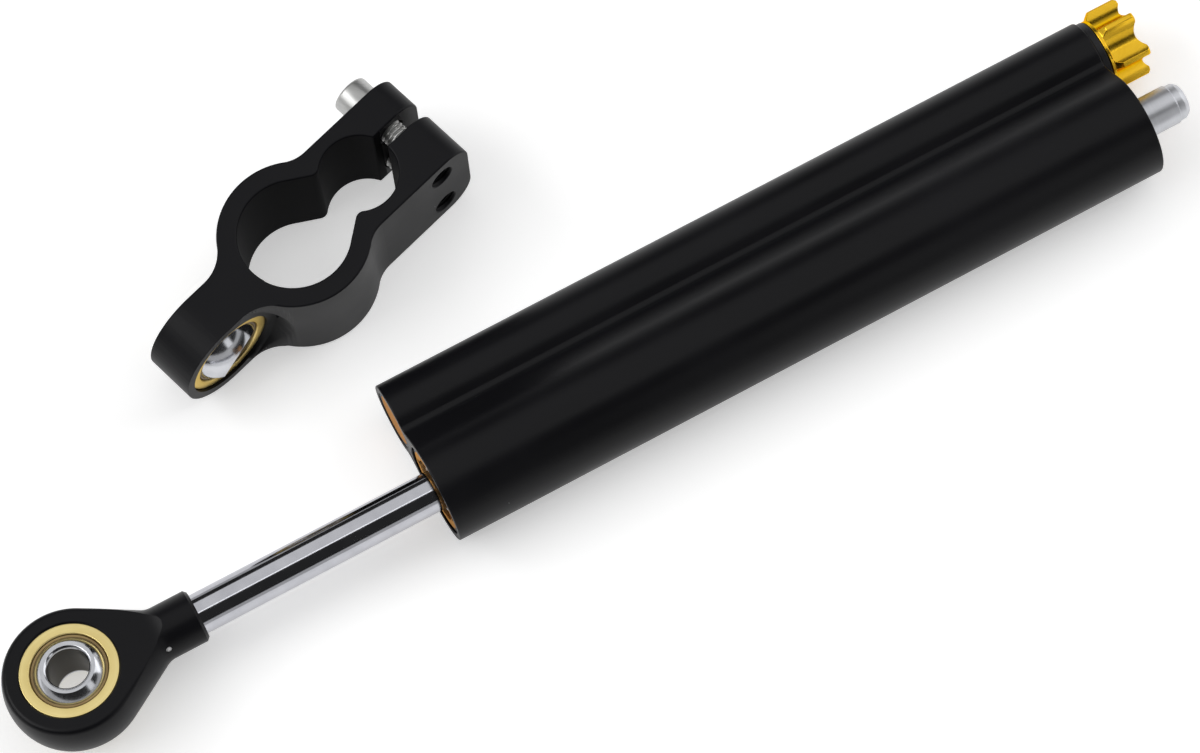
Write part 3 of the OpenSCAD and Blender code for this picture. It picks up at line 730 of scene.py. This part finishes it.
def race_shape():
    """Race with chamfered mouths: flat face, bevel to the liner, and the hollow seat."""
    outer_r, mouth_r = race_r - 0.02, 7.55
    seat = round_side(ball_r + 0.58, (4.2, 3, 2, 1, 0, -1, -2, -3, -4.2))
    return turned([(outer_r, -race_half, 0.25), (outer_r, race_half, 0.25), (mouth_r, race_half, 0.08)]
                  + seat + [(mouth_r, -race_half, 0.08)])


def liner_shape():
    """Thin liner between the ball and the race, with a dark gap around it at the mouths."""
    heights = (4.15, 3.5, 2.5, 1.2, 0, -1.2, -2.5, -3.5, -4.15)
    return turned(round_side(ball_r + 0.04, heights) + round_side(ball_r + 0.4, heights[::-1]))


def add_bearing(title, place, ball_place, race_body, brass, chrome):
    """Spherical bearing: a ball with a sleeve of painted shade in its bore, its liner and its race."""
    ball_body, liner_body = title + "_ball_unit", title + "_liner_unit"
    sleeve_r, sleeve_half = bore_r + 0.06, 5.0
    add_piece(title + "_ball_polished", ball_shape(), ball_place, ball_body, chrome,
              [title + "_ball"])
    # Painted shade: a near-black sleeve laid over the ball's own bore wall makes the bore dark
    bore = turned([(bore_r, -sleeve_half), (sleeve_r, -sleeve_half), (sleeve_r, sleeve_half),
                   (bore_r, sleeve_half)])
    add_piece(title + "_ball_bore_shade", bore, ball_place, ball_body, BORE_SHADE_STEEL)
    add_piece(title + "_race_turned", race_shape(), place, race_body, brass,
              [title + "_race"])
    add_piece(title + "_liner_ring", liner_shape(), place, liner_body, LINER,
              [title + "_liner"])


add_bearing("eye", EYE, EYE, "rod_unit", EYE_RACE, EYE_CHROME)
add_bearing("clamp", LUG, LUG_BALL, "clamp_unit", LUG_RACE, LUG_CHROME)

# The main bodies. The clamp's mesh stays crisp around its lug, where a rounded edge would fold.
crisp_lug = [(LUG.to_translation(), 17)]
add_piece("housing_shell", rounded_solid("housing"), Matrix(), "damper_body", HOUSING_BLACK,
          ["housing"], rounding=0.25)
add_piece("rod_end_eye", rod_end_shape(), LEANING, "rod_unit", EYE_BLACK,
          ["rod_end"], sharp=14)
add_piece("clamp_shell", rounded_solid("clamp_body", 30, 55, crisp_lug), Matrix(), "clamp_unit",
          CLAMP_BLACK, ["clamp_body"], rounding=0.3)
add_piece("knob_scalloped", rounded_solid("adjuster_knob"), Matrix(), "knob_unit", KNOB_GOLD,
          ["adjuster_knob"], rounding=0.14)

# Small trim that shows at the ends of the housing, with its edges broken
for node, rounding, body, finish, slot in (
        ("front_retaining_ring", 0.1, "damper_body", BLACK_STEEL, "black_steel"),
        ("rear_retaining_ring", 0.1, "damper_body", BLACK_STEEL, "black_steel"),
        ("plug_retaining_ring", 0.08, "damper_body", BLACK_STEEL, "black_steel"),
        ("reservoir_plug", 0.2, "damper_body", SIDE_BRONZE, "bronze"),
        ("knob_collar", 0.2, "damper_body", COLLAR, "collar_plastic"),
        ("knob_screw", 0.1, "knob_unit", STEEL, "plain_steel")):
    add_piece(node + "_finished", rounded_solid(node), Matrix(), body, finish, [node],
              rounding=rounding)

rod = turned([(0, rod_from), (rod_r, rod_from), (rod_r, rod_to), (0, rod_to)], closed=False)
add_piece("rod_chromed", rod, ROD_AXIS, "rod_unit", ROD_CHROME, ["main_rod"])
neck_r, tip_r = 3.7, 2.9
tail = turned([(0, tail_from), (rod_r, tail_from), (rod_r, tail_x - 2.6, 0.1),
               (neck_r, tail_x - 2.4, 0.1), (neck_r, tail_x - 1.1, 0.15), (tip_r, tail_x, 0.3),
               (0, tail_x)], closed=False)
add_piece("tail_turned", tail, ROD_AXIS, "rod_unit", TAIL_METAL, ["tail_rod"])

# Wipers: a dark body with a lip, and the thin bright case that stands around the rod
for title, place in (("front", along(ROD_AXIS, near_x + 0.3)),
                     ("rear", back_along(ROD_AXIS, far_x - 0.3))):
    lip = turned([(4.06, 0.95, 0.1), (4.35, 0.75, 0.1), (4.6, 1.9, 0.1), (5.65, 1.9, 0.1),
                  (5.65, 3.5), (4.06, 3.5)])
    add_piece(title + "_wiper_lip", lip, place, "damper_body", WIPER,
              [title + "_wiper"])
    case = turned([(4.5, 0.5, 0.06), (4.85, 0.5, 0.06), (4.85, 1.9), (4.5, 1.9)])
    add_piece(title + "_wiper_case", case, place, "damper_body", STEEL)

# Painted highlight: a near-white matt disc at the bottom of the punched mark beside the collar,
# standing in for a glint
fill_r, fill_low = mark_r - 0.01, collar_r - mark_depth + 0.01
mark = turned([(0, fill_low), (fill_r, fill_low), (fill_r, collar_r - 0.12, 0.05),
               (0, collar_r - 0.02)], closed=False, steps=32)
add_piece("collar_painted_glint", mark, MARK, "rod_unit", PAINTED_GLINT)


def cap_screw():
    """Socket cap screw from the tip of its thread to its head, which starts at height 0."""
    head_r, head_h, thread_r = 0.78 * screw_d, 0.86 * screw_d, screw_d / 2
    key = 0.46 * screw_d * math.cos(math.pi / 6)

    def hexagon(angle):
        return key / math.cos((angle + math.pi / 6) % (math.pi / 3) - math.pi / 6)

    def socket_rim(angle):
        return hexagon(angle) + 0.02

    thread = thread_rings(thread_r - 0.42, thread_r - 0.01, 0.4 - screw_len, -2.0, thread_pitch)
    shank = [(thread_r - 0.01, -1.4), (thread_r - 0.01, 0.02)]
    head = [(head_r - 0.25, 0.02), (head_r - 0.12, 0.14), (head_r, 0.3), (head_r, head_h - 0.5),
            (head_r - 0.08, head_h - 0.25), (head_r - 0.3, head_h - 0.05), (head_r - 0.5, head_h)]
    socket = [(key + 0.5, head_h), (key + 0.4, head_h - 0.06), (socket_rim, head_h - 0.3),
              (hexagon, head_h - 0.45), (hexagon, head_h / 2), (key * 0.9, head_h / 2 - 0.08),
              (key * 0.3, head_h / 2 - 0.3)]
    return lofted([(thread_r - 0.75, -screw_len)] + thread + shank + head + socket, 240)


def thread_sleeve(depth):
    """The thread in a tapped hole, as a thin sleeve that reaches a little into the metal."""
    start, outer_r = 0.35, screw_d / 2 + 0.12
    thread = thread_rings(screw_d / 2 + 0.01, screw_d / 2 - 0.4, start, depth, thread_pitch)
    return lofted([(outer_r, start)] + thread + [(outer_r, depth)], closed=True)


# The screws come in through one ear of the clamp, and their threads end inside the other
for number, side in enumerate((-1, 1), 1):
    screw_place = (CLAMP
                   @ Matrix.Translation((ear_reach - screw_inset, 0, (clamp_h + side * screw_gap) / 2))
                   @ Matrix.Rotation(-math.pi / 2, 4, "X"))
    add_piece("cap_screw_%d" % number, cap_screw(), screw_place @ Matrix.Translation((0, 0, ear_half)),
              "clamp_unit", ZINC, ["clamp_screws"])
    add_piece("tapped_thread_%d" % number, thread_sleeve(2 * ear_half - screw_len - 0.15),
              screw_place @ Matrix.Translation((0, 0, -ear_half)), "clamp_unit", CLAMP_BLACK)

# Studio, in metres


def softbox(name, centre, target, width, height, radiance):
    """Evenly bright rectangle whose brightness is given as it shows in a mirror."""
    light = bpy.data.lights.new(name, "AREA")
    light.shape = "RECTANGLE"
    light.size, light.size_y = width, height
    light.energy = radiance * math.pi * width * height
    holder = bpy.data.objects.new(name, light)
    bpy.context.scene.collection.objects.link(holder)
    holder.location = centre
    holder.rotation_mode = "QUATERNION"
    holder.rotation_quaternion = (Vector(target) - Vector(centre)).to_track_quat("-Z", "Y")
    holder.visible_camera = False


softbox("Top Softbox", (0.12, 0.54, 1.2), (0.12, 0.54, 0.0), 2.4, 1.64, 0.85)
softbox("Edge Strip", (0.12, -0.2, 1.19), (0.12, -0.2, 0.0), 2.4, 0.05, 1.8)
softbox("Left Softbox", (-1.05, 0.4, 1.0), (0.0, 0.0, 0.0), 0.9, 1.0, 2.4)
softbox("Runout Softbox", (-0.85, 0.95, 1.15), (0.015, 0.0, 0.0), 0.5, 0.5, 3.5)
softbox("Knob Softbox", (0.32, -0.42, 0.3), (0.235, 0.015, 0.0), 0.2, 0.26, 1.0)
softbox("Right Softbox", (1.5, 0.1, 0.75), (0.12, 0.03, 0.0), 1.2, 1.3, 1.5)


def floor_white():
    """Stays white to the camera and in mirrors, and keeps the shadow. From behind, it is clear."""
    material = bpy.data.materials.new("White Floor")
    material.use_nodes = True
    tree = material.node_tree
    tree.nodes.clear()
    paper = tree.nodes.new("ShaderNodeBsdfDiffuse")
    paper.inputs["Color"].default_value = (0.85, 0.85, 0.85, 1)
    lift = tree.nodes.new("ShaderNodeEmission")
    lift.inputs["Color"].default_value = (1, 1, 1, 1)
    rays = tree.nodes.new("ShaderNodeLightPath").outputs
    mirrored = math_node(tree, "MAXIMUM", rays["Is Glossy Ray"], rays["Is Transmission Ray"])
    seen = math_node(tree, "MAXIMUM", rays["Is Camera Ray"], mirrored)
    tree.links.new(math_node(tree, "MULTIPLY", seen, 0.45), lift.inputs["Strength"])
    both = tree.nodes.new("ShaderNodeAddShader")
    tree.links.new(paper.outputs[0], both.inputs[0])
    tree.links.new(lift.outputs[0], both.inputs[1])
    side = tree.nodes.new("ShaderNodeNewGeometry")
    clear = tree.nodes.new("ShaderNodeBsdfTransparent")
    choose = tree.nodes.new("ShaderNodeMixShader")
    tree.links.new(side.outputs["Backfacing"], choose.inputs[0])
    tree.links.new(both.outputs[0], choose.inputs[1])
    tree.links.new(clear.outputs[0], choose.inputs[2])
    output = tree.nodes.new("ShaderNodeOutputMaterial")
    tree.links.new(choose.outputs[0], output.inputs["Surface"])
    return material


def make_floor():
    """White cove: a round floor with a low wall."""
    flat_r, bend_r, wall_top, sunk = 3.2, 0.8, 1.2, 0.00005
    outline = [(0.0, 0.0), (flat_r, 0.0)]
    for degrees in range(15, 91, 15):
        a = math.radians(degrees)
        outline.append((flat_r + bend_r * math.sin(a), bend_r - bend_r * math.cos(a)))
    outline.append((flat_r + bend_r, wall_top))
    shape = turned(outline, closed=False, steps=96)
    for face in shape.faces:
        if face.normal.z < 0 or face.normal.xy.dot(face.calc_center_median().xy) > 0.001:
            face.normal_flip()
    bmesh.ops.translate(shape, vec=(0.1, 0, floor_z / 1000 - sunk), verts=shape.verts)
    mesh = bpy.data.meshes.new("floor")
    shape.to_mesh(mesh)
    shape.free()
    mesh.shade_smooth()
    mesh.materials.append(floor_white())
    floor = bpy.data.objects.new("floor", mesh)
    bpy.context.scene.collection.objects.link(floor)


make_floor()

scene = bpy.context.scene
scene.view_settings.view_transform = "Standard"
scene.world = bpy.data.worlds.new("Studio")
scene.world.use_nodes = True
air = scene.world.node_tree.nodes["Background"]
air.inputs["Color"].default_value = (1, 1, 1, 1)
air.inputs["Strength"].default_value = 0.03

# Camera

picture_width, focal_length = 1200, 4422.73  # both in the photo's pixels
camera_data = bpy.data.cameras.new("Camera")
camera_data.sensor_fit = "HORIZONTAL"
camera_data.sensor_width = 36.0
camera_data.lens = focal_length / picture_width * camera_data.sensor_width
camera_data.clip_start, camera_data.clip_end = 0.05, 20.0
camera = bpy.data.objects.new("Camera", camera_data)
scene.collection.objects.link(camera)
stand = (-0.000598, -0.24508, 0.788)
right = (0.87762, -0.47872, -0.02478)
up = (0.45947, 0.82535, 0.32817)
back = (-0.13665, -0.29939, 0.94429)
turn = Matrix((right, up, back)).transposed().to_4x4()
camera.matrix_world = Matrix.Translation(stand) @ turn
scene.camera = camera
